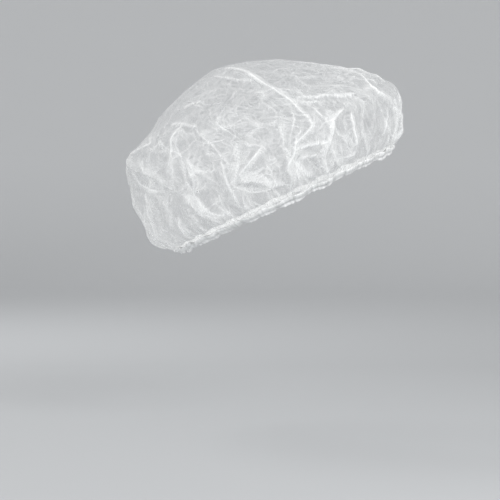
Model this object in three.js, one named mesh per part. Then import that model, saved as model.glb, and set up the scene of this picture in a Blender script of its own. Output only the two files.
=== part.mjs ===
// Disposable bouffant hair cover, as worn: a disc of thin non-woven cloth puffed over the head,
// its edge folded into a narrow hem and gathered by the flat elastic that runs inside the hem.
// Millimetres, +Z up. The wearer faces +X, and the origin is the middle of the head opening.
import * as THREE from "three";

const { clamp, degToRad, lerp, smoothstep } = THREE.MathUtils;

// Driving sizes
const rimTilt = 25.5; // degrees that the worn rim climbs from nape to forehead
const wall = 1; // cloth thickness
const gap = 0.3; // clear space between neighbouring pieces
const hemDepth = 8.8; // lowest ruffle to the top of the hem's outer leg
const hemInnerDepth = 8; // the same, for the leg against the head
const hemScallop = 1.4; // how far the ruffles of the hem's lower edge rise and fall
const elasticWidth = 2.5;
const elasticThickness = wall;

// Level sections of the puffed cloth, from the gathered edge to the top of the head.
// rise is the height over the rim plane, front and back the reach to forehead and nape,
// and side the half width. Places on the cloth count these rows: climb 2.5 is between rows 2 and 3.
const sections = [
  { rise: 0, front: 101, back: 101, side: 77 },
  { rise: 9, front: 112, back: 112, side: 89 },
  { rise: 22, front: 120.5, back: 120, side: 98 },
  { rise: 38, front: 126.5, back: 121, side: 103 },
  { rise: 51, front: 130, back: 120.8, side: 104.5 },
  { rise: 62, front: 123.5, back: 120, side: 103 },
  { rise: 75, front: 110.5, back: 117.4, side: 99 },
  { rise: 90, front: 91.5, back: 114, side: 92 },
  { rise: 99, front: 79, back: 101, side: 84 },
  { rise: 108, front: 64.5, back: 81, side: 72 },
  { rise: 117, front: 49.5, back: 67, side: 58 },
  { rise: 125, front: 29.5, back: 46, side: 39 },
  { rise: 131, front: 9, back: 25, side: 19 },
  { rise: 134, front: -8, back: 8, side: 0 },
];
const topClimb = sections.length - 1;

// Gathers that the elastic pulls into the cloth all round, deepest a little above the hem.
const gathers = {
  count: 28,
  depth: 3.2,
  shareAtHem: 0.25,
  deepestClimb: 1.5,
  endClimb: 6.5,
  crowding: { times: 3, reach: 0.8 }, // where gathers stand closer together
  swelling: { times: 5, share: 0.3, start: 1 }, // where gathers are deeper
};

// Ruffles of the hem's lower edge, one for each gather
const ruffles = { start: 1.1, crowding: { times: 4, reach: 2 } };

// Raised folds. around is in degrees from the forehead, through the wearer's right side (90),
// the nape (180) and the left side (270). width is from the crest to the foot of the fold.
const folds = [
  // Right side
  { around: 65, climb: 11.4, toAround: 67, toClimb: 5.8, width: 12, height: 3.5 },
  { around: 67, climb: 5.8, toAround: 70, toClimb: 4.1, width: 10, height: 4 },
  { around: 78, climb: 3.7, toAround: 85, toClimb: 2.3, width: 10, height: 5 },
  { around: 85, climb: 2.3, toAround: 87, toClimb: 0.9, width: 10, height: 4 },
  { around: 53, climb: 4.2, toAround: 62, toClimb: 3.2, width: 10, height: 4 },
  { around: 62, climb: 3.2, toAround: 69, toClimb: 1, width: 10, height: 5 },
  { around: 91, climb: 4.2, toAround: 107, toClimb: 3, width: 10, height: 5 },
  { around: 107, climb: 3, toAround: 87, toClimb: 1.7, width: 10, height: 5 },
  { around: 108, climb: 4.6, toAround: 107, toClimb: 1.4, width: 10, height: 4 },
  { around: 107, climb: 7, toAround: 106, toClimb: 4.2, width: 10, height: 3 },
  { around: 120, climb: 5.8, toAround: 125, toClimb: 3.3, width: 10, height: 5 },
  { around: 129, climb: 3.4, toAround: 121, toClimb: 1.3, width: 11, height: 5.5 },
  { around: 117, climb: 7.9, toAround: 133, toClimb: 5, width: 10, height: 4 },
  // Nape
  { around: 168, climb: 7.4, toAround: 133, toClimb: 4, width: 12, height: 5 },
  { around: 168, climb: 7.4, toAround: 139, toClimb: 7.7, width: 12, height: 3.5 },
  { around: 145, climb: 6.1, toAround: 160, toClimb: 3, width: 10, height: 4 },
  { around: 190, climb: 7.2, toAround: 214, toClimb: 4.6, width: 12, height: 4.5 },
  { around: 204, climb: 4.8, toAround: 196, toClimb: 2, width: 11, height: 4 },
  // Left side
  { around: 296, climb: 11, toAround: 290, toClimb: 6.2, width: 12, height: 3.5 },
  { around: 290, climb: 6.2, toAround: 278, toClimb: 3.6, width: 11, height: 4.5 },
  { around: 278, climb: 3.6, toAround: 284, toClimb: 1, width: 10, height: 5 },
  { around: 262, climb: 5.4, toAround: 252, toClimb: 2.6, width: 10, height: 5 },
  { around: 252, climb: 2.6, toAround: 268, toClimb: 1.5, width: 10, height: 4.5 },
  { around: 238, climb: 7.6, toAround: 232, toClimb: 4.4, width: 11, height: 4 },
  { around: 232, climb: 4.4, toAround: 240, toClimb: 1.2, width: 11, height: 5 },
  { around: 304, climb: 4.8, toAround: 298, toClimb: 1.2, width: 10, height: 5 },
  { around: 214, climb: 8.6, toAround: 236, toClimb: 6.4, width: 11, height: 3.5 },
  // Forehead
  { around: 63, climb: 6.3, toAround: 42, toClimb: 4.9, width: 11, height: 3.5 },
  { around: 22, climb: 5.9, toAround: 32, toClimb: 4.4, width: 11, height: 4 },
  { around: 32, climb: 4.4, toAround: 17, toClimb: 2.6, width: 11, height: 4.5 },
  { around: 51, climb: 3.6, toAround: 54, toClimb: 1.5, width: 10, height: 4 },
  { around: 350, climb: 5.6, toAround: 332, toClimb: 3.6, width: 11, height: 4.5 },
  { around: 332, climb: 3.6, toAround: 340, toClimb: 1.4, width: 10, height: 4.5 },
  { around: 318, climb: 5.4, toAround: 320, toClimb: 2.4, width: 10, height: 4 },
];
const foldSteps = 6; // straight pieces that follow the cloth along one fold
const foldEndShare = 0.45; // height left at the ends of a fold

// Rings of faces on the crown: few near the top, where the rings are short.
const aroundSteps = 4 * gathers.count;
const ringBands = [
  { toClimb: 8, rings: 14, steps: aroundSteps },
  { toClimb: 11, rings: 4, steps: aroundSteps / 2 },
  { toClimb: 12.5, rings: 2, steps: aroundSteps / 4 },
];

// The puffed form, before gathers and folds
const profileOf = (reach) =>
  new THREE.SplineCurve(sections.map((row) => new THREE.Vector2(row[reach], row.rise)));
const frontProfile = profileOf("front");
const backProfile = profileOf("back");
const sideProfile = profileOf("side");

function puffedPoint(around, climb) {
  const t = clamp(climb / topClimb, 0, 1);
  const front = frontProfile.getPoint(t);
  const back = backProfile.getPoint(t);
  const side = sideProfile.getPoint(t);
  const turn = degToRad(around);
  const middle = (front.x - back.x) / 2;
  const halfLength = (front.x + back.x) / 2;
  return new THREE.Vector3(middle + halfLength * Math.cos(turn), -side.x * Math.sin(turn), front.y);
}

// Outward normal of any surface that is given as a function of around and climb.
function normalOf(surface, around, climb) {
  const aroundReach = 0.5;
  const climbReach = 0.04;
  const low = Math.max(climb - climbReach, 0);
  const high = Math.min(climb + climbReach, topClimb - climbReach);
  const along = surface(around + aroundReach, climb).sub(surface(around - aroundReach, climb));
  const up = surface(around, high).sub(surface(around, low));
  return up.cross(along).normalize();
}

// Gathers and folds, as a height over the puffed form
function gatherHeight(around, climb) {
  const turn = degToRad(around);
  const { crowding, swelling } = gathers;
  const wave = Math.sin(gathers.count * turn + crowding.reach * Math.sin(crowding.times * turn));
  const swell = Math.sin(swelling.times * turn + swelling.start);
  const depth = gathers.depth * (1 - swelling.share + swelling.share * swell);
  const rising = lerp(gathers.shareAtHem, 1, smoothstep(climb, 0, gathers.deepestClimb));
  const fading = 1 - smoothstep(climb, gathers.deepestClimb, gathers.endClimb);
  return depth * wave * rising * fading;
}

const foldLines = folds.map((fold) => {
  const points = Array.from({ length: foldSteps + 1 }, (_, i) => {
    const share = i / foldSteps;
    const around = lerp(fold.around, fold.toAround, share);
    return puffedPoint(around, lerp(fold.climb, fold.toClimb, share));
  });
  const pieces = points.slice(1).map((end, i) => new THREE.Line3(points[i], end));
  return { ...fold, pieces };
});

function foldHeight(point) {
  const nearest = new THREE.Vector3();
  let highest = 0;
  for (const fold of foldLines) {
    fold.pieces.forEach((piece, i) => {
      const share = piece.closestPointToPointParameter(point, true);
      const away = piece.at(share, nearest).distanceTo(point) / fold.width;
      if (away >= 1) return;
      const along = (i + share) / foldSteps;
      const height = fold.height * lerp(foldEndShare, 1, Math.sin(Math.PI * along));
      highest = Math.max(highest, height * (1 - away) ** 2 * (1 + away));
    });
  }
  return highest;
}

function clothPoint(around, climb) {
  const point = puffedPoint(around, climb);
  const fold = foldHeight(point) * smoothstep(climb, 0.5, 1.4);
  const out = normalOf(puffedPoint, around, climb);
  return point.addScaledVector(out, fold + gatherHeight(around, climb));
}

// A point off the outside of the cloth: out is positive away from the head.
function offCloth(around, climb, out) {
  const normal = normalOf(clothPoint, around, climb);
  return clothPoint(around, climb).addScaledVector(normal, out);
}

// Turns lists of corners and triangles into a geometry.
function geometryFrom(corners, triangles) {
  const geometry = new THREE.BufferGeometry().setFromPoints(corners);
  geometry.setIndex(triangles);
  geometry.computeVertexNormals();
  return geometry;
}

// Crown: two skins of rings that close on a point at the top and meet in a rim at the hem
function crownRings() {
  const rings = [crownEdgeClimb, hemTopClimb].map((climb) => ({ climb, steps: aroundSteps }));
  for (const band of ringBands) {
    const from = rings.at(-1).climb;
    for (let i = 1; i <= band.rings; i++) {
      rings.push({ climb: lerp(from, band.toClimb, i / band.rings), steps: band.steps });
    }
  }
  return rings;
}

function crownGeometry() {
  const corners = [];
  const triangles = [];
  const face = (flip, a, b, c) => triangles.push(...(flip ? [a, c, b] : [a, b, c]));
  const rings = crownRings();

  // Stitches a ring to the next one up, which has as many corners or half as many.
  function stitch(lower, upper, flip) {
    const halved = lower.steps / upper.steps;
    for (let i = 0; i < upper.steps; i++) {
      const next = (i + 1) % upper.steps;
      const [a, b] = [upper.start + i, upper.start + next];
      const low = lower.start + i * halved;
      const lowNext = lower.start + ((i + 1) * halved) % lower.steps;
      if (halved === 2) {
        face(flip, a, low + 1, low);
        face(flip, a, b, low + 1);
        face(flip, b, lowNext, low + 1);
      } else {
        face(flip, a, lowNext, low);
        face(flip, a, b, lowNext);
      }
    }
  }

  const skins = [0, -wall].map((out) => {
    const flip = out < 0;
    const placed = rings.map(({ climb, steps }) => {
      const start = corners.length;
      for (let i = 0; i < steps; i++) corners.push(offCloth((360 * i) / steps, climb, out));
      return { start, steps };
    });
    placed.slice(1).forEach((upper, i) => stitch(placed[i], upper, flip));
    const last = placed.at(-1);
    const top = corners.length;
    corners.push(puffedPoint(0, topClimb).add(new THREE.Vector3(0, 0, out)));
    for (let i = 0; i < last.steps; i++) {
      face(flip, top, last.start + ((i + 1) % last.steps), last.start + i);
    }
    return placed[0];
  });
  const [outerRim, innerRim] = skins;
  for (let i = 0; i < aroundSteps; i++) {
    const next = (i + 1) % aroundSteps;
    face(false, outerRim.start + i, outerRim.start + next, innerRim.start + i);
    face(false, outerRim.start + next, innerRim.start + next, innerRim.start + i);
  }
  return geometryFrom(corners, triangles);
}

// A closed loop of one cross-section round the rim. The section gives corners as
// { along: distance up the cloth from the lowest edge, out: distance off the cloth }, in order
// from the outside of the upper edge, down, and back up on the head's side.
function rimLoopGeometry(sectionAt) {
  const corners = [];
  const triangles = [];
  const size = sectionAt(0).length;
  for (let i = 0; i < aroundSteps; i++) {
    const around = (360 * i) / aroundSteps;
    for (const { along, out } of sectionAt(around)) {
      corners.push(offCloth(around, along / firstStretch, out));
    }
  }
  for (let i = 0; i < aroundSteps; i++) {
    const here = i * size;
    const there = ((i + 1) % aroundSteps) * size;
    for (let j = 0; j < size; j++) {
      const k = (j + 1) % size;
      triangles.push(here + j, there + j, here + k, there + j, there + k, here + k);
    }
  }
  return geometryFrom(corners, triangles);
}

// Places along the cloth in the hem, upwards from its lowest ruffle
const firstStretch = puffedPoint(0, 0).distanceTo(puffedPoint(0, 1)); // one row of sections, in millimetres
const channelFloor = hemScallop + wall;
const elasticFoot = channelFloor + gap;
const elasticTop = elasticFoot + elasticWidth;
const crownEdgeClimb = (elasticTop + gap) / firstStretch;
const hemTopClimb = hemDepth / firstStretch;

// Hem: the cloth's edge folded up round the elastic, with ruffles along its lower edge
function hemSection(around) {
  const turn = degToRad(around);
  const { start, crowding } = ruffles;
  const shift = start + crowding.reach * Math.sin(crowding.times * turn);
  const lowest = (hemScallop / 2) * (1 + Math.sin(gathers.count * turn + shift));
  const outside = gap + wall;
  const inside = -wall - gap;
  return [
    { along: hemDepth, out: outside },
    { along: lowest + wall / 2, out: outside },
    { along: lowest, out: -wall / 2 },
    { along: lowest + wall / 2, out: inside - wall },
    { along: hemInnerDepth, out: inside - wall },
    { along: hemInnerDepth, out: inside },
    { along: channelFloor, out: inside },
    { along: channelFloor, out: gap },
    { along: hemDepth, out: gap },
  ];
}

// Elastic: a flat band under the crown's edge, between the two legs of the hem
function elasticSection() {
  return [
    { along: elasticTop, out: 0 },
    { along: elasticFoot, out: 0 },
    { along: elasticFoot, out: -elasticThickness },
    { along: elasticTop, out: -elasticThickness },
  ];
}

const nonWoven = new THREE.MeshStandardMaterial({
  color: 0xf1f3f4,
  roughness: 0.9,
  metalness: 0,
  transparent: true,
  opacity: 0.5,
  side: THREE.DoubleSide,
});
const foldedNonWoven = new THREE.MeshStandardMaterial({
  color: 0xf4f5f5,
  roughness: 0.9,
  metalness: 0,
  transparent: true,
  opacity: 0.8,
});
const elasticYarn = new THREE.MeshStandardMaterial({ color: 0xf7f6f2, roughness: 0.75, metalness: 0 });

function piece(name, geometry, material) {
  const mesh = new THREE.Mesh(geometry, material);
  mesh.name = name;
  return mesh;
}

const rim = new THREE.Group();
rim.rotation.y = -degToRad(rimTilt);
rim.add(
  piece("crown", crownGeometry(), nonWoven),
  piece("hem", rimLoopGeometry(hemSection), foldedNonWoven),
  piece("elastic", rimLoopGeometry(elasticSection), elasticYarn),
);

const cap = new THREE.Group();
cap.add(rim);

export default cap;
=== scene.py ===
# Disposable bouffant hair cover, as worn: thin translucent non-woven cloth puffed over the head
# and gathered into a narrow elastic hem. The cloth is shaped in millimetres and built in metres.
import math

import bpy
import numpy as np
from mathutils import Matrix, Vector, noise


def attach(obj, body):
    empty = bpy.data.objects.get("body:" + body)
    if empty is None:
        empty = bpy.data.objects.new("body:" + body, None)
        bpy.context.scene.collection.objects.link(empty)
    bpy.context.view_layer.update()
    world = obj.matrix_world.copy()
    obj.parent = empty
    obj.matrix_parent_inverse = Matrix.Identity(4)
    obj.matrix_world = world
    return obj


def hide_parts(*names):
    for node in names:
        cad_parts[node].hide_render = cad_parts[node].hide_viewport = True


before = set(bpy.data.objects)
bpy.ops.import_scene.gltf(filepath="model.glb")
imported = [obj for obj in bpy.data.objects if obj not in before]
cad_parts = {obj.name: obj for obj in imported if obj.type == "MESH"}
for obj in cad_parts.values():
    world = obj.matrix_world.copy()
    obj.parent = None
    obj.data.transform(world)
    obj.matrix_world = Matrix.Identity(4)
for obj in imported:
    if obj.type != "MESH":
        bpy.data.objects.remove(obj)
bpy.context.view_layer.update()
bpy.ops.object.select_all(action="DESELECT")
print("frame loaded")


# The puffed form, before gathers and folds

capForm = {
    "rimTilt": 25.5,  # degrees that the rim climbs from nape to forehead
    "rise": [0, 9, 22, 38, 51, 62, 75, 90, 99, 108, 117, 125, 131, 134],
    "front": [101, 112, 120.5, 126.5, 130, 123.5, 110.5, 91.5, 79, 64.5, 49.5, 29.5, 9, -8],
    "back": [101, 112, 120, 121, 120.8, 120, 117.4, 114, 101, 81, 67, 46, 25, 8],
    "side": [77, 89, 98, 103, 104.5, 103, 99, 92, 84, 72, 58, 39, 19, 0],
}
topClimb = len(capForm["rise"]) - 1


def smoothStep(x, low, high):
    t = np.clip((x - low) / (high - low), 0, 1)
    return t * t * (3 - 2 * t)


# A smooth line through one column of the form, read at climb = row number
def splineAt(column, climb):
    row = np.array(capForm[column], float)
    last = len(row) - 1
    climb = np.clip(np.asarray(climb, float), 0, last)
    i = np.minimum(np.floor(climb).astype(int), last - 1)
    t = climb - i
    before, here = row[np.maximum(i - 1, 0)], row[i]
    there, after = row[i + 1], row[np.minimum(i + 2, last)]
    leave, arrive = (there - before) / 2, (after - here) / 2
    cubic = 2 * here - 2 * there + leave + arrive
    square = -3 * here + 3 * there - 2 * leave - arrive
    return ((cubic * t + square) * t + leave) * t + here


# around is in degrees from the forehead, through the right side (90), nape and left side
def puffedPoint(around, climb):
    turn = np.radians(np.asarray(around, float))
    front, back = splineAt("front", climb), splineAt("back", climb)
    side, rise = splineAt("side", climb), splineAt("rise", climb)
    x = (front - back) / 2 + (front + back) / 2 * np.cos(turn)
    return np.stack(np.broadcast_arrays(x, -side * np.sin(turn), rise), -1)


def normalsOf(surface, around, climb):
    reach, step = 0.5, 0.04
    along = surface(around + reach, climb) - surface(around - reach, climb)
    high = np.minimum(climb + step, topClimb - step)
    up = surface(around, high) - surface(around, np.maximum(climb - step, 0))
    out = np.cross(up, along)
    return out / np.maximum(np.linalg.norm(out, axis=-1, keepdims=True), 1e-9)


# Distance along the cloth from the top of the head, as on the flat disc that it was cut from
climbTable = np.linspace(0, topClimb, 400)
stretchTable = np.zeros(len(climbTable))
quarters = (0, 90, 180, 270)
for place in quarters:
    path = puffedPoint(place, climbTable)
    steps = np.linalg.norm(np.diff(path, axis=0), axis=1)
    stretchTable[:-1] += np.cumsum(steps[::-1])[::-1] / len(quarters)


def flatPlace(around, climb):
    turn = np.radians(around)
    reach = np.interp(climb, climbTable, stretchTable)
    return np.stack([reach * np.cos(turn), -reach * np.sin(turn)], -1)


# Turns the rim frame to the worn one, and millimetres to metres
def asWorn(points):
    tilt = math.radians(capForm["rimTilt"])
    x, y, z = points[..., 0], points[..., 1], points[..., 2]
    turned = [x * math.cos(tilt) - z * math.sin(tilt), y, x * math.sin(tilt) + z * math.cos(tilt)]
    return np.stack(turned, -1) / 1000


# Perlin noise over the flat cloth, about -1 to 1
def clothNoise(flat, size, seed):
    return np.array([noise.noise((u / size, v / size, seed)) for u, v in flat])


# Folds: each follows (around, climb) places on the cloth. width is from crest to foot, height the
# crest's lift, line how clear the crease is, and band the doubled cloth beside it (minus: other side).
folds = [
    # Right side, from the forehead back
    {"path": [(65, 11.6), (65, 10.5), (66, 8.4), (65, 6.4), (68, 5.6), (70, 4.1)],
     "width": 10, "height": 3.4, "line": 0.8, "band": 3.5},
    {"path": [(69.6, 4.1), (75.8, 3.6), (78.5, 3.5)],
     "width": 8, "height": 3.5, "line": 0.8, "band": 2.5},
    {"path": [(78, 3.7), (80.5, 2.9), (84.8, 2.5), (84, 1.95), (87, 0.97)],
     "width": 9, "height": 4.5, "line": 0.9, "band": 4.5},
    {"path": [(53.4, 4.2), (61.8, 3.8), (62.3, 3.1), (68.3, 2.3), (68.8, 2.0), (68.6, 0.8)],
     "width": 9, "height": 4.5, "line": 0.85, "band": -3},
    {"path": [(91.3, 4.2), (104.5, 3.1), (107.2, 3.0)],
     "width": 9, "height": 4.5, "line": 0.9, "band": 3},
    {"path": [(107.2, 3.0), (97.2, 2.5), (93.5, 2.0), (87, 1.6)],
     "width": 9, "height": 5, "line": 0.9, "band": 5},
    {"path": [(107.5, 4.65), (109, 3.55), (108.5, 2.5), (107.5, 1.34)],
     "width": 9, "height": 4, "line": 1, "band": -4},
    {"path": [(107.5, 7.05), (105.7, 4.0)],
     "width": 7, "height": 2, "line": 0.8, "band": 0},
    {"path": [(120.4, 5.9), (121.2, 4.9), (122.2, 4.0), (125.4, 3.2)],
     "width": 9, "height": 4.5, "line": 1, "band": 4},
    {"path": [(128.6, 3.5), (125.9, 2.4), (120.7, 1.3)],
     "width": 10, "height": 5, "line": 1, "band": 7},
    {"path": [(116.9, 7.9), (123.7, 6.5), (130.6, 5.6), (133.4, 4.95)],
     "width": 9, "height": 4, "line": 0.9, "band": -3},
    {"path": [(129, 9.5), (113.4, 9.4), (105.2, 9.2)],
     "width": 7, "height": 2, "line": 0.6, "band": 0},
    {"path": [(129.6, 8.6), (116.4, 8.0), (107.2, 7.3)],
     "width": 7, "height": 2.2, "line": 0.7, "band": 2},
    {"path": [(90, 11.2), (78.5, 10.1), (69, 9.0)],
     "width": 7, "height": 1.6, "line": 0.5, "band": 0},
    {"path": [(61.3, 6.3), (57.6, 5.75), (53.2, 5.6), (47.5, 5.1), (42.4, 4.9)],
     "width": 7, "height": 2.4, "line": 0.55, "band": 1.5},
    {"path": [(63.6, 6.3), (62.3, 5.7), (56.6, 5.3)],
     "width": 6, "height": 2, "line": 0.6, "band": 0},
    {"path": [(63, 5.6), (64.6, 4.6), (62.8, 3.2)],
     "width": 7, "height": 2.4, "line": 0.55, "band": 0},
    {"path": [(80, 2.6), (78, 1.7), (75.3, 1.3), (74, 0.9)],
     "width": 8, "height": 3.5, "line": 0.9, "band": 3},
    {"path": [(63.6, 2.2), (63.3, 1.6), (59.8, 0.7)],
     "width": 9, "height": 4, "line": 0.9, "band": 6},
    {"path": [(79.3, 3.1), (65.8, 2.8)],
     "width": 6, "height": 2.2, "line": 0.7, "band": 2},
    {"path": [(79.5, 2.6), (68.3, 2.3)],
     "width": 6, "height": 2.2, "line": 0.7, "band": -2},
    # Nape
    {"path": [(167.8, 7.5), (144.9, 6.1), (137.4, 5.2), (132.1, 3.9)],
     "width": 11, "height": 4.5, "line": 0.9, "band": 4},
    {"path": [(167.8, 7.5), (147.3, 7.5), (138.6, 7.65), (148.3, 8.5)],
     "width": 10, "height": 3.4, "line": 0.8, "band": 0},
    {"path": [(144.9, 6.1), (143.4, 5.5), (151.3, 3.6), (160, 3.0)],
     "width": 9, "height": 4, "line": 0.8, "band": -3},
    {"path": [(138, 2.5), (139.9, 1.15)],
     "width": 8, "height": 3.5, "line": 0.9, "band": 4},
    {"path": [(190, 7.2), (201, 6.0), (214, 4.6)],
     "width": 11, "height": 4.4, "line": 0.9, "band": 4},
    {"path": [(204, 4.8), (198, 3.4), (196, 1.4)],
     "width": 10, "height": 4, "line": 0.9, "band": -4},
    {"path": [(180, 5.2), (176, 3.6), (182, 1.6)],
     "width": 9, "height": 4, "line": 0.9, "band": 3},
    {"path": [(160, 4.2), (166, 2.8), (163, 1.2)],
     "width": 9, "height": 4, "line": 0.9, "band": 3},
    {"path": [(214, 8.6), (226, 7.6), (236, 6.4)],
     "width": 10, "height": 3.4, "line": 0.8, "band": 0},
    # Left side
    {"path": [(296, 11), (294, 8.6), (290, 6.2)],
     "width": 10, "height": 3.4, "line": 0.9, "band": 3},
    {"path": [(290, 6.2), (281, 5.0), (278, 3.6)],
     "width": 10, "height": 4.4, "line": 1, "band": -4},
    {"path": [(278, 3.6), (281, 2.4), (284, 1)],
     "width": 9, "height": 4.5, "line": 1, "band": 4},
    {"path": [(262, 5.4), (258, 4.0), (252, 2.6)],
     "width": 9, "height": 4.5, "line": 0.9, "band": 4},
    {"path": [(252, 2.6), (259, 1.9), (268, 1.5)],
     "width": 9, "height": 4.5, "line": 1, "band": -3},
    {"path": [(238, 7.6), (236, 5.9), (232, 4.4)],
     "width": 10, "height": 4, "line": 0.9, "band": 3},
    {"path": [(232, 4.4), (234, 2.8), (240, 1.2)],
     "width": 10, "height": 4.8, "line": 1, "band": 5},
    {"path": [(304, 4.8), (303, 3.0), (298, 1.2)],
     "width": 9, "height": 4.6, "line": 1, "band": 4},
    {"path": [(270, 8.4), (262, 7.0), (264, 5.6)],
     "width": 8, "height": 2.4, "line": 0.7, "band": 0},
    {"path": [(310, 7.2), (304, 6.2), (306, 5.0)],
     "width": 8, "height": 2.8, "line": 0.8, "band": 2},
    {"path": [(246, 10.2), (254, 9.2), (266, 8.8)],
     "width": 7, "height": 1.8, "line": 0.6, "band": 0},
    # Forehead
    {"path": [(21.9, 5.9), (32.2, 4.8), (32.2, 4.0), (20, 3.3)],
     "width": 10, "height": 4, "line": 0.9, "band": 3},
    {"path": [(32.7, 4.2), (16.7, 2.6)],
     "width": 9, "height": 4, "line": 0.9, "band": -3},
    {"path": [(51.1, 3.65), (53.9, 1.6), (62.6, 1.6)],
     "width": 9, "height": 4, "line": 0.9, "band": 4},
    {"path": [(24.9, 3.0), (31.7, 1.7)],
     "width": 8, "height": 3.4, "line": 0.9, "band": 3},
    {"path": [(350, 5.6), (340, 4.8), (332, 3.6)],
     "width": 10, "height": 4.2, "line": 0.9, "band": 3},
    {"path": [(332, 3.6), (334, 2.5), (340, 1.4)],
     "width": 9, "height": 4.4, "line": 0.9, "band": -4},
    {"path": [(318, 5.4), (322, 4.0), (320, 2.4)],
     "width": 9, "height": 4, "line": 0.9, "band": 3},
    {"path": [(4, 7.4), (0, 6.2), (6, 4.8)],
     "width": 9, "height": 3, "line": 0.8, "band": 2},
    {"path": [(4, 3.6), (8, 2.4), (2, 1.1)],
     "width": 9, "height": 4, "line": 0.9, "band": 4},
]

# Gathers that the elastic pulls in: large waves, unevenly crowded and swollen, and sharp small
# pleats that start at the hem. Climbs are rows of the form, and lean is in degrees.
gathers = {
    "waves": 28, "waveDepth": 2.6, "shareAtHem": 0.22, "deepestClimb": 1.5, "endClimb": 6,
    "crowding": {"times": 3, "reach": 0.8}, "swelling": {"times": 5, "share": 0.3, "start": 1},
    "pleats": 110, "pleatHeight": 2.2, "pleatWidth": 5, "pleatFoot": 0.35, "pleatClimb": (1.4, 4.2),
    "jitter": 0.4, "lean": 8, "fullLeanClimb": 4, "leanHalfway": 0.3, "seed": 11,
}

# How a crease stands and shows, in millimetres or in shares of its length
creaseShape = {
    "endShare": 0.35,  # height left at the ends of a fold
    "flanks": (1.25, 0.7),  # the side of a fold that lies double is wider
    "pleatStart": (-0.1, 0.3), "pleatFade": (0.45, 1), "pleatShare": 0.9,
    "lineWidth": 0.75, "lineFrom": (0.45, 0.8), "liftFrom": (0.5, 1.4),  # climbs that clear the hem
}
doubledCloth = {
    "breadth": 1.05, "least": 0.01, "softness": 0.9, "edgeLine": 0.35, "edgeWidth": 0.8, "edgeFrom": 1.2,
}

# Crumples of the slack cloth, in three sizes of millimetres, weaker over the top of the head
crumple = {
    "kinds": [
        {"size": 46, "lift": 3.0, "line": 0.3, "seed": 3.3},
        {"size": 22, "lift": 2.4, "line": 0.22, "seed": 12.4},
        {"size": 11, "lift": 1.1, "line": 0.08, "seed": 21.5},
    ],
    "slackClimb": (0.7, 2.2), "topClimb": (6.5, 9.5), "topShare": 0.25, "endClimb": (12, 12.9),
    "wander": 7, "wanderSize": 30, "wanderSeeds": (21.5, 35.5),
    "level": 0.24, "steepness": 1.6, "lineWidth": 1.4,
}


# Places about every two millimetres along a path on the puffed form
def creaseLine(path, spacing=2.0):
    path = np.array(path, float)
    corners = puffedPoint(path[:, 0], path[:, 1])
    lengths = np.linalg.norm(np.diff(corners, axis=0), axis=1)
    marks = np.concatenate([[0], np.cumsum(lengths)])
    at = np.linspace(0, marks[-1], max(3, int(marks[-1] / spacing)))
    around, climb = np.interp(at, marks, path[:, 0]), np.interp(at, marks, path[:, 1])
    soft = np.ones(3) / 3  # rounds the corners of the path a little
    around[1:-1] = np.convolve(around, soft, "valid")
    climb[1:-1] = np.convolve(climb, soft, "valid")
    return {"around": around, "climb": climb, "points": puffedPoint(around, climb)}


creases = [dict(fold, **creaseLine(fold["path"]), kind="fold") for fold in folds]
random = np.random.default_rng(gathers["seed"])
for i in range(gathers["pleats"]):
    foot = 360 * (i + random.uniform(-gathers["jitter"], gathers["jitter"])) / gathers["pleats"]
    top = random.uniform(*gathers["pleatClimb"]) * random.uniform(0.5, 1)
    lean = random.normal(0, gathers["lean"]) * top / gathers["fullLeanClimb"]
    halfway = (foot + lean * gathers["leanHalfway"], top / 2)
    pleat = creaseLine([(foot, gathers["pleatFoot"]), halfway, (foot + lean, top)])
    pleat["width"] = gathers["pleatWidth"] * random.uniform(0.7, 1.3)
    pleat["height"] = gathers["pleatHeight"] * random.uniform(0.35, 1)
    pleat["line"] = random.uniform(0.2, 0.7)
    creases.append(dict(pleat, kind="pleat", band=0))


# Distance, signed side and place along a crease, for the points that lie near it
def nearCrease(points, normals, crease, reach):
    path = crease["points"]
    low, high = path.min(0) - reach, path.max(0) + reach
    near = np.nonzero(np.all((points > low) & (points < high), axis=1))[0]
    spot = points[near][:, None, :] - path[None, :-1, :]
    leg = np.diff(path, axis=0)
    share = np.clip((spot * leg).sum(-1) / (leg * leg).sum(-1), 0, 1)
    offset = spot - share[..., None] * leg
    far = np.linalg.norm(offset, axis=-1)
    best = far.argmin(1)
    rows = np.arange(len(near))
    side = np.sign((np.cross(leg[best], offset[rows, best]) * normals[near]).sum(-1))
    return near, far[rows, best], side, (best + share[rows, best]) / len(leg)


# Moves the corners that lie beside a crease onto it, so that its crest is a clean line of edges
def snapToCreases(around, climb, reach, fromClimb):
    around, climb = around.copy(), climb.copy()
    points = puffedPoint(around, climb)
    normals = normalsOf(puffedPoint, around, climb)
    endGap = 0.001  # corners past the ends of a crease stay where they are
    for crease in creases:
        near, far, _, place = nearCrease(points, normals, crease, reach + 1)
        if len(near) == 0:
            continue
        close = (far < reach) & (place > endGap) & (place < 1 - endGap) & (climb[near] > fromClimb)
        marks = np.linspace(0, 1, len(crease["around"]))
        around[near[close]] = np.interp(place[close], marks, crease["around"])
        climb[near[close]] = np.interp(place[close], marks, crease["climb"])
    return around, climb


# Cloth that lies double beside a fold, tapering to its ends, and the line of that cloth's free edge
def doubledBeside(crease, far, side, place):
    taper = np.sqrt(np.sin(np.pi * np.clip(place, 0.0, 1.0)))
    breadth = abs(crease["band"]) * doubledCloth["breadth"] * taper + doubledCloth["least"]
    onSide = side * np.sign(crease["band"])
    soft = doubledCloth["softness"]
    inside = (onSide >= 0) * (1 - smoothStep(far, breadth - soft, breadth + soft))
    edge = np.exp(-(((far - breadth) / doubledCloth["edgeWidth"]) ** 2)) * (onSide > 0)
    return inside, doubledCloth["edgeLine"] * edge * (breadth > doubledCloth["edgeFrom"])


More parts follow.
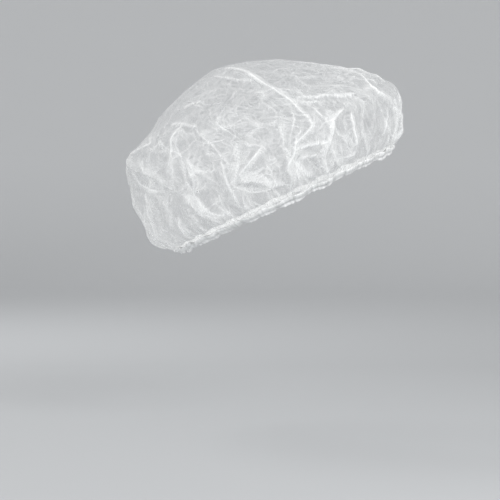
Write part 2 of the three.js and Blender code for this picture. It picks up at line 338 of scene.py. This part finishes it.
# Height of the folds and of the pleats, clear crease lines, and doubled cloth
def creaseRelief(around, climb):
    points = puffedPoint(around, climb)
    normals = normalsOf(puffedPoint, around, climb)
    lift = {"fold": np.zeros(len(points)), "pleat": np.zeros(len(points))}
    line, band = np.zeros(len(points)), np.zeros(len(points))
    wide, narrow = creaseShape["flanks"]
    for crease in creases:
        near, far, side, place = nearCrease(points, normals, crease, crease["width"] * wide)
        if len(near) == 0:
            continue
        if crease["kind"] == "fold":
            ends = creaseShape["endShare"] + (1 - creaseShape["endShare"]) * np.sin(np.pi * place)
            leaning = 1 if crease["band"] >= 0 else -1
            flank = np.where(side * leaning > 0, wide, narrow)
        else:
            ends = 1 - smoothStep(place, *creaseShape["pleatFade"])
            ends = ends * smoothStep(place, *creaseShape["pleatStart"])
            flank = 1.0
        away = np.clip(far / (crease["width"] * flank), 0, 1)
        raised = lift[crease["kind"]]
        raised[near] = np.maximum(raised[near], crease["height"] * ends * (1 - away) ** 2 * (1 + away))
        sharp = np.exp(-((far / creaseShape["lineWidth"]) ** 2))
        line[near] = np.maximum(line[near], crease["line"] * np.sqrt(ends) * sharp)
        if crease["band"]:
            inside, edge = doubledBeside(crease, far, side, place)
            band[near] = np.maximum(band[near], inside)
            line[near] = np.maximum(line[near], edge * crease["line"])
    return lift["fold"] + lift["pleat"] * creaseShape["pleatShare"], line, band


def gatherWaves(around, climb):
    turn = np.radians(around)
    crowding, swelling = gathers["crowding"], gathers["swelling"]
    wave = np.sin(gathers["waves"] * turn + crowding["reach"] * np.sin(crowding["times"] * turn))
    swell = swelling["share"] * np.sin(swelling["times"] * turn + swelling["start"])
    depth = gathers["waveDepth"] * (1 - swelling["share"] + swell)
    atHem = gathers["shareAtHem"]
    rising = atHem + (1 - atHem) * smoothStep(climb, 0, gathers["deepestClimb"])
    fading = 1 - smoothStep(climb, gathers["deepestClimb"], gathers["endClimb"])
    return depth * wave * rising * fading


# Sharp-edged crumples: where the noise changes sign the cloth creases
def crumpleRelief(around, climb):
    flat = flatPlace(around, climb)
    slack = smoothStep(climb, *crumple["slackClimb"])
    slack = slack * (1 - (1 - crumple["topShare"]) * smoothStep(climb, *crumple["topClimb"]))
    slack = slack * (1 - smoothStep(climb, *crumple["endClimb"]))
    wander = [clothNoise(flat, crumple["wanderSize"], seed) for seed in crumple["wanderSeeds"]]
    strayed = flat + np.stack(wander, -1) * crumple["wander"]
    lift, line = np.zeros(len(flat)), np.zeros(len(flat))
    for kind in crumple["kinds"]:
        ridge = np.abs(clothNoise(strayed, kind["size"], kind["seed"]))
        lift += kind["lift"] * (crumple["level"] - ridge) * crumple["steepness"]
        sharp = np.exp(-((ridge * kind["size"] / crumple["lineWidth"]) ** 2))
        line = np.maximum(line, kind["line"] * slack * sharp)
    return lift * slack, line


# Height over the puffed form, clear crease lines, and doubled cloth, for a set of places
def clothRelief(around, climb):
    folded, line, band = creaseRelief(around, climb)
    crumpled, fine = crumpleRelief(around, climb)
    offHem = smoothStep(climb, *creaseShape["liftFrom"])  # folds and pleats stay out of the hem
    height = gatherWaves(around, climb) + folded * offHem + crumpled
    clear = np.maximum(line, fine) * smoothStep(climb, *creaseShape["lineFrom"])
    return height, clear, band * offHem


def clothPoint(around, climb):
    height, _, _ = clothRelief(around, climb)
    return puffedPoint(around, climb) + normalsOf(puffedPoint, around, climb) * height[:, None]


def newObject(name, corners, faces):
    mesh = bpy.data.meshes.new(name)
    mesh.from_pydata([tuple(c) for c in corners], [], faces)
    mesh.validate()
    piece = bpy.data.objects.new(name, mesh)
    bpy.context.scene.collection.objects.link(piece)
    return piece


def selectOnly(piece):
    bpy.ops.object.select_all(action="DESELECT")
    piece.select_set(True)
    bpy.context.view_layer.objects.active = piece


def outwardNormals(piece):
    selectOnly(piece)
    bpy.ops.object.mode_set(mode="EDIT")
    bpy.ops.mesh.select_all(action="SELECT")
    bpy.ops.mesh.normals_make_consistent(inside=False)
    bpy.ops.object.mode_set(mode="OBJECT")


def applyAll(piece):
    selectOnly(piece)
    for modifier in list(piece.modifiers):
        bpy.ops.object.modifier_apply(modifier=modifier.name)
    bpy.ops.object.shade_smooth()


# Crown: one skin of rings that close on a point at the top, then given its thickness

crown = {
    "edgeClimb": 0.42,  # where the cloth ends between the legs of the hem
    "bands": [(8, 82, 480), (11, 30, 240), (12.5, 14, 120), (12.9, 5, 60)],  # to climb, rings, faces round
    "thickness": 0.3, "snap": 0.62, "snapFrom": 0.8,
    "ridge": (0.12, 0.55), "ridgeShare": 0.45,  # bends of the form that show as creases
}


# Each ring's climb and number of faces, spaced evenly along the cloth within a band
def crownRings():
    rings = [(crown["edgeClimb"], crown["bands"][0][2])]
    for toClimb, count, around in crown["bands"]:
        ends = np.interp([rings[-1][0], toClimb], climbTable, stretchTable)
        marks = np.linspace(ends[0], ends[1], count + 1)
        rings += [(np.interp(m, stretchTable[::-1], climbTable[::-1]), around) for m in marks[1:]]
    return rings


def crownFaces(rings):
    faces, start = [], 0
    for (_, lower), (_, upper) in zip(rings, rings[1:]):
        above = start + lower
        for i in range(upper):
            a, b = above + i, above + (i + 1) % upper
            if lower == 2 * upper:  # the next band has half as many faces
                c, d, e = start + 2 * i, start + 2 * i + 1, start + (2 * i + 2) % lower
                faces += [(a, d, c), (a, b, d), (b, e, d)]
            else:
                faces.append((a, b, start + (i + 1) % lower, start + i))
        start = above
    last = rings[-1][1]
    top = start + last
    return faces + [(top, start + (i + 1) % last, start + i) for i in range(last)]


def crownSheet():
    rings = crownRings()
    around = np.concatenate([np.arange(n) * 360 / n for _, n in rings])
    climb = np.concatenate([np.full(n, c) for c, n in rings])
    around, climb = snapToCreases(around, climb, crown["snap"], crown["snapFrom"])
    height, line, band = clothRelief(around, climb)
    facing = normalsOf(puffedPoint, around, climb)
    points = puffedPoint(around, climb) + facing * height[:, None]
    return {
        "points": np.vstack([points, puffedPoint(0, topClimb)[None, :]]), "faces": crownFaces(rings),
        "facing": np.vstack([facing, [[0, 0, 1]]]), "places": np.vstack([flatPlace(around, climb), [[0, 0]]]),
        "line": np.append(line, 0), "band": np.append(band, 0),
    }


# Places on the flat cloth become the UV map, in metres, so fibres keep their size
def clothMap(piece, places):
    layer = piece.data.uv_layers.new(name="flatCloth")
    corners = np.zeros(len(piece.data.loops), np.int32)
    piece.data.loops.foreach_get("vertex_index", corners)
    layer.data.foreach_set("uv", (places[corners] / 1000).astype(np.float32).ravel())


def pointAttribute(piece, name, values):
    attribute = piece.data.attributes.new(name, "FLOAT", "POINT")
    attribute.data.foreach_set("value", values.astype(np.float32))


# How far each corner stands off its neighbours, so that bent cloth shows denser along its sharp edges
def ridgeHeight(points, faces, facing):
    pairs = [np.array([(f[i], f[(i + 1) % len(f)]) for i in range(len(f))]) for f in faces]
    edges = np.unique(np.sort(np.concatenate(pairs), axis=1), axis=0)
    total, count = np.zeros_like(points), np.zeros(len(points))
    for a, b in ((0, 1), (1, 0)):
        np.add.at(total, edges[:, a], points[edges[:, b]])
        np.add.at(count, edges[:, a], 1)
    return np.abs(((points - total / count[:, None]) * facing).sum(1))


cloth = crownSheet()
ridge = ridgeHeight(cloth["points"], cloth["faces"], cloth["facing"])
creased = np.clip(cloth["line"] + crown["ridgeShare"] * smoothStep(ridge, *crown["ridge"]), 0, 1)
crownPiece = newObject("crown_cloth", asWorn(cloth["points"]), cloth["faces"])
clothMap(crownPiece, cloth["places"])
pointAttribute(crownPiece, "crease", creased)
pointAttribute(crownPiece, "band", cloth["band"])
outwardNormals(crownPiece)
wall = crownPiece.modifiers.new("wall", "SOLIDIFY")
wall.thickness, wall.offset = crown["thickness"] / 1000, -1
applyAll(crownPiece)
print("crown made:", len(crownPiece.data.polygons), "faces")


# Hem: the cloth's edge folded up round the elastic, ruffled along its lower edge

hem = {
    "stepsRound": 1200, "round": 562, "foot": 0.9, "depth": 9.4, "innerDepth": 8.0, "thickness": 0.35,
    "waves": [  # size and depth of each kind, in millimetres
        {"name": "ruffle", "size": 11, "depth": 1.7, "seed": 4.7},
        {"name": "scallop", "size": 13, "depth": 1.5, "seed": 7.8},
        {"name": "tuck", "size": 5, "depth": 0.6, "seed": 10.9},
        {"name": "crinkle", "size": 1.8, "depth": 0.3, "seed": 14.0},
    ],
    "tuckAtFoot": 0.5, "tuckAtTop": 0.8, "tuckOut": 0.5,
    # dense sets the hem's crease attribute: a base for the layers of the fold, plus painted shade of the
    # ruffles that follows the tucks and crinkles
    "dense": {"all": 0.45, "tuck": 0.6, "crinkle": 1.4},
    "clothPerDegree": 3.75, "clothPerRow": 1.1,  # millimetres of flat cloth
}
rowStretch = float(np.linalg.norm(puffedPoint(0, 1) - puffedPoint(0, 0)))  # one row of the form, in mm


# Uneven waves round the hem, about -1 to 1, with bumps of a given size in millimetres
def rimNoise(around, size, seed):
    reach = hem["round"] / (2 * math.pi * size)
    fullSwing = 1.5  # Perlin noise seldom goes past two thirds
    turns = np.radians(around)
    return np.array([noise.noise((reach * math.cos(t), reach * math.sin(t), seed)) for t in turns]) * fullSwing


# Down the outer leg, round the fold, and up the leg against the head. share is the part of the
# leg's height, out the distance off the cloth, and sway how much the ruffles move that line.
outerLeg = [
    {"share": 1.0, "out": 0.75, "sway": 0.12}, {"share": 0.9, "out": 1.0, "sway": 0.2},
    {"share": 0.78, "out": 1.35, "sway": 0.3}, {"share": 0.66, "out": 1.35, "sway": 0.3},
    {"share": 0.54, "out": 1.0, "sway": 0.2}, {"share": 0.45, "out": 0.8, "sway": 0.15},
    {"share": 0.36, "out": 0.95, "sway": 0.3}, {"share": 0.26, "out": 1.3, "sway": 0.6},
    {"share": 0.16, "out": 1.4, "sway": 0.85}, {"share": 0.07, "out": 1.0, "sway": 1.0},
    {"share": 0.0, "out": -0.1, "sway": 1.05},
]
innerLeg = [
    {"share": 0.07, "out": -1.1, "sway": 0.95}, {"share": 0.18, "out": -1.5, "sway": 0.6},
    {"share": 0.3, "out": -1.4, "sway": 0.3}, {"share": 0.5, "out": -1.25, "sway": 0.1},
    {"share": 0.75, "out": -1.2, "sway": 0.1}, {"share": 1.0, "out": -1.2, "sway": 0.1},
]


def hemSheet():
    count = hem["stepsRound"]
    around = np.arange(count) * 360 / count
    wave = {w["name"]: rimNoise(around, w["size"], w["seed"]) * w["depth"] for w in hem["waves"]}
    tuck, crinkle = wave["tuck"], wave["crinkle"]
    lowest = hem["foot"] + wave["scallop"] + hem["tuckAtFoot"] * tuck
    dense = hem["dense"]
    # The hem's density: the layers of the fold, with painted ruffle shade that rises and falls with the tucks
    # and crinkles
    hemLayersAndShade = np.clip(dense["all"] + dense["tuck"] * tuck + dense["crinkle"] * crinkle, 0, 1)
    section = outerLeg + innerLeg
    rows, flats = [], []
    for j, row in enumerate(section):
        outside = j < len(outerLeg)
        depth = hem["depth"] if outside else hem["innerDepth"]
        climb = (lowest + (depth + hem["tuckAtTop"] * tuck - lowest) * row["share"]) / rowStretch
        push = row["out"] + wave["ruffle"] * row["sway"]
        if outside and row["share"] < 1:
            push = push + (tuck + crinkle) * (hem["tuckOut"] + row["sway"])
        facing = normalsOf(puffedPoint, around, climb)
        rows.append(clothPoint(around, climb) + facing * push[:, None])
        flats.append(np.stack([around * hem["clothPerDegree"], np.full(count, j * hem["clothPerRow"])], -1))
    faces = []
    for j in range(len(section) - 1):
        for i in range(count):
            k = (i + 1) % count
            faces.append((j * count + i, j * count + k, (j + 1) * count + k, (j + 1) * count + i))
    return np.concatenate(rows), faces, np.concatenate(flats), np.tile(hemLayersAndShade, len(section))


points, faces, places, hemLayersAndShade = hemSheet()
hemPiece = newObject("hem_fold", asWorn(points), faces)
clothMap(hemPiece, places)
# The hem's crease attribute carries its density and the painted ruffle shade
pointAttribute(hemPiece, "crease", hemLayersAndShade)
pointAttribute(hemPiece, "band", np.zeros(len(points)))
wall = hemPiece.modifiers.new("wall", "SOLIDIFY")
wall.thickness, wall.offset = hem["thickness"] / 1000, 0
applyAll(hemPiece)
print("hem made:", len(hemPiece.data.polygons), "faces")


# Elastic: a flat band in the channel of the hem

elastic = {
    "stepsRound": 480, "foot": 2.7, "width": 2.5, "thickness": 0.7, "out": -0.5, "softEdge": 0.2,
    "startRadius": 0.09, "grainsPerMetre": 900, "grainDepth": 0.0002, "grainStrength": 0.5,
    "dark": "#e9e7e2", "light": "#f8f7f4", "roughness": 0.75,
}


def elasticLine(along):
    around = np.arange(elastic["stepsRound"]) * 360 / elastic["stepsRound"]
    climb = np.full(elastic["stepsRound"], along / rowStretch)
    facing = normalsOf(puffedPoint, around, climb)
    return asWorn(clothPoint(around, climb) + facing * elastic["out"])


bpy.ops.object.select_all(action="DESELECT")
bpy.ops.mesh.primitive_circle_add(
    vertices=elastic["stepsRound"], radius=elastic["startRadius"], fill_type="NOTHING")
elasticPiece = bpy.context.object
elasticPiece.name = elasticPiece.data.name = "elastic_band"
for vertex, spot in zip(elasticPiece.data.vertices, elasticLine(elastic["foot"])):
    vertex.co = Vector(spot)
bpy.ops.object.mode_set(mode="EDIT")
bpy.ops.mesh.select_all(action="SELECT")
bpy.ops.mesh.extrude_edges_move(TRANSFORM_OT_translate={"value": (0, 0, elastic["width"] / 1000)})
bpy.ops.object.mode_set(mode="OBJECT")
upper = list(elasticPiece.data.vertices)[elastic["stepsRound"]:]
for vertex, spot in zip(upper, elasticLine(elastic["foot"] + elastic["width"])):
    vertex.co = Vector(spot)
outwardNormals(elasticPiece)
wall = elasticPiece.modifiers.new("wall", "SOLIDIFY")
wall.thickness, wall.offset = elastic["thickness"] / 1000, 0
softEdge = elasticPiece.modifiers.new("softEdge", "BEVEL")
softEdge.width, softEdge.segments, softEdge.limit_method = elastic["softEdge"] / 1000, 2, "ANGLE"
applyAll(elasticPiece)
print("elastic made:", len(elasticPiece.data.polygons), "faces")


# Materials

def linearColour(hexColour, alpha=1.0):
    parts = [int(hexColour[i:i + 2], 16) / 255 for i in (1, 3, 5)]
    return [p / 12.92 if p <= 0.04045 else ((p + 0.055) / 1.055) ** 2.4 for p in parts] + [alpha]


# Adds a node: settings are its own values or its inputs by name, links are {input: output socket}
def addNode(tree, kind, settings=None, links=None):
    node = tree.nodes.new(kind)
    for name, value in (settings or {}).items():
        if isinstance(name, int) or name in node.inputs:
            node.inputs[name].default_value = value
        else:
            setattr(node, name, value)
    for name, socket in (links or {}).items():
        tree.links.new(socket, node.inputs[name])
    return node


# Spunbond polypropylene non-woven: endless fine fibres laid at random and pressed into a thin veil.
# To the eye it is a milky, matt film with hair-fine fibre lines and cloudy patches, and it turns
# whiter wherever it creases or lies double. Fibres are 0.02 mm in life, drawn about 0.7 mm wide to show.
# Sizes are in metres of flat cloth, and veil, fibre, cloud, crease and doubled add up to the density.
spunbond = {
    "veil": -0.01, "fibre": 0.19, "cloud": 0.1, "crease": 0.5, "doubled": 0.13,
    "fibreWidth": 0.0007, "fibreLength": 0.03, "fibreTurns": (0.3, 1.4, 2.5), "cloudSize": 0.011,
    "curlsPerMetre": 55.0, "curlReach": 0.02, "strandScale": 0.55, "strandRange": (0.53, 0.68),
    "colour": "#fbfcfc", "roughness": 0.82, "specular": 0.35, "sheen": 0.15,
    "bump": 0.00015, "bumpStrength": 0.6,
}
foldedSpunbond = {"veil": 0.58, "fibre": 0.2, "crease": 0.35}  # several layers in the hem


# Three lays of long thin noise across each other, bent so that no fibre runs straight
def fibreLays(tree, cloth):
    curl = addNode(tree, "ShaderNodeTexNoise", {"Scale": spunbond["curlsPerMetre"], "Detail": 1.0},
                   {"Vector": cloth})
    centred = addNode(tree, "ShaderNodeVectorMath", {"operation": "SUBTRACT", 1: (0.5, 0.5, 0.5)},
                      {0: curl.outputs["Color"]})
    bent = addNode(tree, "ShaderNodeVectorMath", {"operation": "SCALE", "Scale": spunbond["curlReach"]},
                   {0: centred.outputs[0]})
    curved = addNode(tree, "ShaderNodeVectorMath", {"operation": "ADD"}, {0: cloth, 1: bent.outputs[0]})
    fibreSize = (1 / spunbond["fibreLength"], 1 / spunbond["fibreWidth"], 1)
    thinnest, thickest = spunbond["strandRange"]
    fibres = None
    for turn in spunbond["fibreTurns"]:
        apart = (turn * 7, turn * 3, turn)  # so that the lays don't repeat each other
        turned = addNode(tree, "ShaderNodeMapping", {"Rotation": (0, 0, turn)}, {"Vector": curved.outputs[0]})
        laid = addNode(tree, "ShaderNodeMapping", {"Scale": fibreSize, "Location": apart},
                       {"Vector": turned.outputs[0]})
        strand = addNode(tree, "ShaderNodeTexNoise",
                         {"Scale": spunbond["strandScale"], "Detail": 2.0, "Roughness": 0.6},
                         {"Vector": laid.outputs[0]})
        thin = addNode(tree, "ShaderNodeMapRange", {"From Min": thinnest, "From Max": thickest},
                       {"Value": strand.outputs["Fac"]}).outputs[0]
        if fibres is None:
            fibres = thin
        else:
            fibres = addNode(tree, "ShaderNodeMath", {"operation": "MAXIMUM"}, {0: fibres, 1: thin}).outputs[0]
    return fibres


def spunbondMaterial(name, density):
    material = bpy.data.materials.new(name)
    material.use_nodes = True
    tree = material.node_tree
    shader = tree.nodes["Principled BSDF"]
    cloth = addNode(tree, "ShaderNodeUVMap", {"uv_map": "flatCloth"}).outputs["UV"]
    fibres = fibreLays(tree, cloth)
    cloud = addNode(tree, "ShaderNodeTexNoise", {"Scale": 1 / spunbond["cloudSize"], "Detail": 3.0},
                    {"Vector": cloth})
    # crease: crease lines on the crown; on the hem, its density with painted ruffle shade
    crease = addNode(tree, "ShaderNodeAttribute", {"attribute_name": "crease"})
    doubled = addNode(tree, "ShaderNodeAttribute", {"attribute_name": "band"})
    dense = addNode(tree, "ShaderNodeMath",
                    {"operation": "MULTIPLY_ADD", 1: density["fibre"], 2: density["veil"]}, {0: fibres})
    cloudy = addNode(tree, "ShaderNodeMath", {"operation": "MULTIPLY_ADD", 1: spunbond["cloud"]},
                     {0: cloud.outputs["Fac"], 2: dense.outputs[0]})
    creased = addNode(tree, "ShaderNodeMath", {"operation": "MULTIPLY_ADD", 1: density["crease"]},
                      {0: crease.outputs["Fac"], 2: cloudy.outputs[0]})
    alpha = addNode(tree, "ShaderNodeMath",
                    {"operation": "MULTIPLY_ADD", 1: spunbond["doubled"], "use_clamp": True},
                    {0: doubled.outputs["Fac"], 2: creased.outputs[0]})
    rough = addNode(tree, "ShaderNodeBump",
                    {"Strength": spunbond["bumpStrength"], "Distance": spunbond["bump"]}, {"Height": fibres})
    shader.inputs["Base Color"].default_value = linearColour(spunbond["colour"])
    shader.inputs["Roughness"].default_value = spunbond["roughness"]
    shader.inputs["Specular IOR Level"].default_value = spunbond["specular"]
    shader.inputs["Sheen Weight"].default_value = spunbond["sheen"]
    tree.links.new(alpha.outputs[0], shader.inputs["Alpha"])
    tree.links.new(rough.outputs[0], shader.inputs["Normal"])
    return material


# Covered elastic: rubber cores wrapped with white yarn, a matt band with a grain of yarn about 1 mm wide
def elasticMaterial():
    material = bpy.data.materials.new("covered elastic")
    material.use_nodes = True
    tree = material.node_tree
    shader = tree.nodes["Principled BSDF"]
    place = addNode(tree, "ShaderNodeTexCoord").outputs["Object"]
    grain = addNode(tree, "ShaderNodeTexVoronoi", {"Scale": elastic["grainsPerMetre"]}, {"Vector": place})
    bump = addNode(tree, "ShaderNodeBump",
                   {"Strength": elastic["grainStrength"], "Distance": elastic["grainDepth"]},
                   {"Height": grain.outputs["Distance"]})
    tone = addNode(tree, "ShaderNodeMixRGB",
                   {1: linearColour(elastic["dark"]), 2: linearColour(elastic["light"])},
                   {0: grain.outputs["Distance"]})
    tree.links.new(tone.outputs[0], shader.inputs["Base Color"])
    shader.inputs["Roughness"].default_value = elastic["roughness"]
    tree.links.new(bump.outputs[0], shader.inputs["Normal"])
    return material


crownPiece.data.materials.append(spunbondMaterial("spunbond polypropylene", spunbond))
# The hem's material shows the painted ruffle shade through the crease attribute
hemPiece.data.materials.append(spunbondMaterial("folded spunbond polypropylene with painted ruffle shade", foldedSpunbond))
elasticPiece.data.materials.append(elasticMaterial())
print("materials made")


# Frame table

standsFor = [
    (crownPiece, "crown", "nonwoven"), (hemPiece, "hem", "hem_nonwoven"),
    (elasticPiece, "elastic", "elastic_yarn"),
]
for piece, node, slot in standsFor:
    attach(piece, "root")
    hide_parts(node)


# Stage, light and camera

stage = {
    "floor": -0.194, "wall": 3.4, "reach": 8, "height": 5, "sweep": 1.6, "sweepSteps": 32,
    "floorColour": "#b5b7b9", "wallColour": "#e6e8ea", "blend": (0.5, 2.6), "roughness": 0.7,
}
bpy.ops.object.select_all(action="DESELECT")
bpy.ops.mesh.primitive_plane_add(
    size=2 * stage["reach"], location=(0, stage["wall"] - stage["reach"], stage["floor"]))
floor = bpy.context.object
floor.name = "floor"
bpy.ops.object.transform_apply(location=True, rotation=True, scale=True)
bpy.ops.object.mode_set(mode="EDIT")
bpy.ops.mesh.select_mode(type="EDGE")
bpy.ops.mesh.select_all(action="DESELECT")
bpy.ops.object.mode_set(mode="OBJECT")
for edge in floor.data.edges:
    edge.select = all(floor.data.vertices[v].co.y > stage["wall"] - 0.01 for v in edge.vertices)
bpy.ops.object.mode_set(mode="EDIT")
bpy.ops.mesh.extrude_edges_move(TRANSFORM_OT_translate={"value": (0, 0, stage["height"])})
bpy.ops.object.mode_set(mode="OBJECT")
sweep = floor.modifiers.new("sweep", "BEVEL")
sweep.width, sweep.segments, sweep.limit_method = stage["sweep"], stage["sweepSteps"], "ANGLE"
applyAll(floor)


# Matt studio paper, greyer under the lights than on the wall so that white cloth shows on both
def paperMaterial():
    material = bpy.data.materials.new("pale paper")
    material.use_nodes = True
    tree = material.node_tree
    shader = tree.nodes["Principled BSDF"]
    place = addNode(tree, "ShaderNodeTexCoord").outputs["Object"]
    deep = addNode(tree, "ShaderNodeSeparateXYZ", links={0: place}).outputs["Y"]
    near, far = stage["blend"]
    share = addNode(tree, "ShaderNodeMapRange", {"From Min": near, "From Max": far}, {"Value": deep})
    tone = addNode(tree, "ShaderNodeMixRGB",
                   {1: linearColour(stage["floorColour"]), 2: linearColour(stage["wallColour"])},
                   {0: share.outputs[0]})
    tree.links.new(tone.outputs[0], shader.inputs["Base Color"])
    shader.inputs["Roughness"].default_value = stage["roughness"]
    return material


floor.data.materials.append(paperMaterial())

lights = [
    {"name": "key", "from": (0.7, -1.0, 0.8), "size": 0.6, "power": 13},
    {"name": "fill", "from": (-1.1, -1.4, -0.05), "size": 0.8, "power": 11.5},
    {"name": "rim", "from": (-0.7, 0.8, 0.9), "size": 0.6, "power": 8},
]
lightAim = Vector((-0.03, 0, 0.03))
for light in lights:
    bpy.ops.object.light_add(type="AREA", location=light["from"])
    lamp = bpy.context.object
    lamp.name = light["name"]
    lamp.data.size, lamp.data.energy = light["size"], light["power"]
    lamp.rotation_euler = (lightAim - Vector(light["from"])).to_track_quat("-Z", "Y").to_euler()

studio = {"colour": "#f5f5f5", "strength": 0.58}
world = bpy.context.scene.world or bpy.data.worlds.new("studio")
bpy.context.scene.world = world
world.use_nodes = True
world.node_tree.nodes["Background"].inputs["Color"].default_value = linearColour(studio["colour"])
world.node_tree.nodes["Background"].inputs["Strength"].default_value = studio["strength"]

view = {"aim": (-0.0316, 0, -0.0423), "distance": 2.0, "above": 2.5, "frameWidth": 0.445, "sensor": 36}
above = math.radians(view["above"])
bpy.ops.object.camera_add()
camera = bpy.context.object
camera.data.sensor_width = view["sensor"]
camera.data.lens = view["sensor"] * view["distance"] / view["frameWidth"]
back = Vector((0, -math.cos(above), math.sin(above)))
camera.location = Vector(view["aim"]) + back * view["distance"]
camera.rotation_euler = (-back).to_track_quat("-Z", "Y").to_euler()
bpy.context.scene.camera = camera
bpy.context.scene.view_settings.view_transform = "Standard"  # keeps whites white
bpy.context.scene.cycles.transparent_max_bounces = 32  # light passes many layers of thin cloth
print("stage, light and camera set")
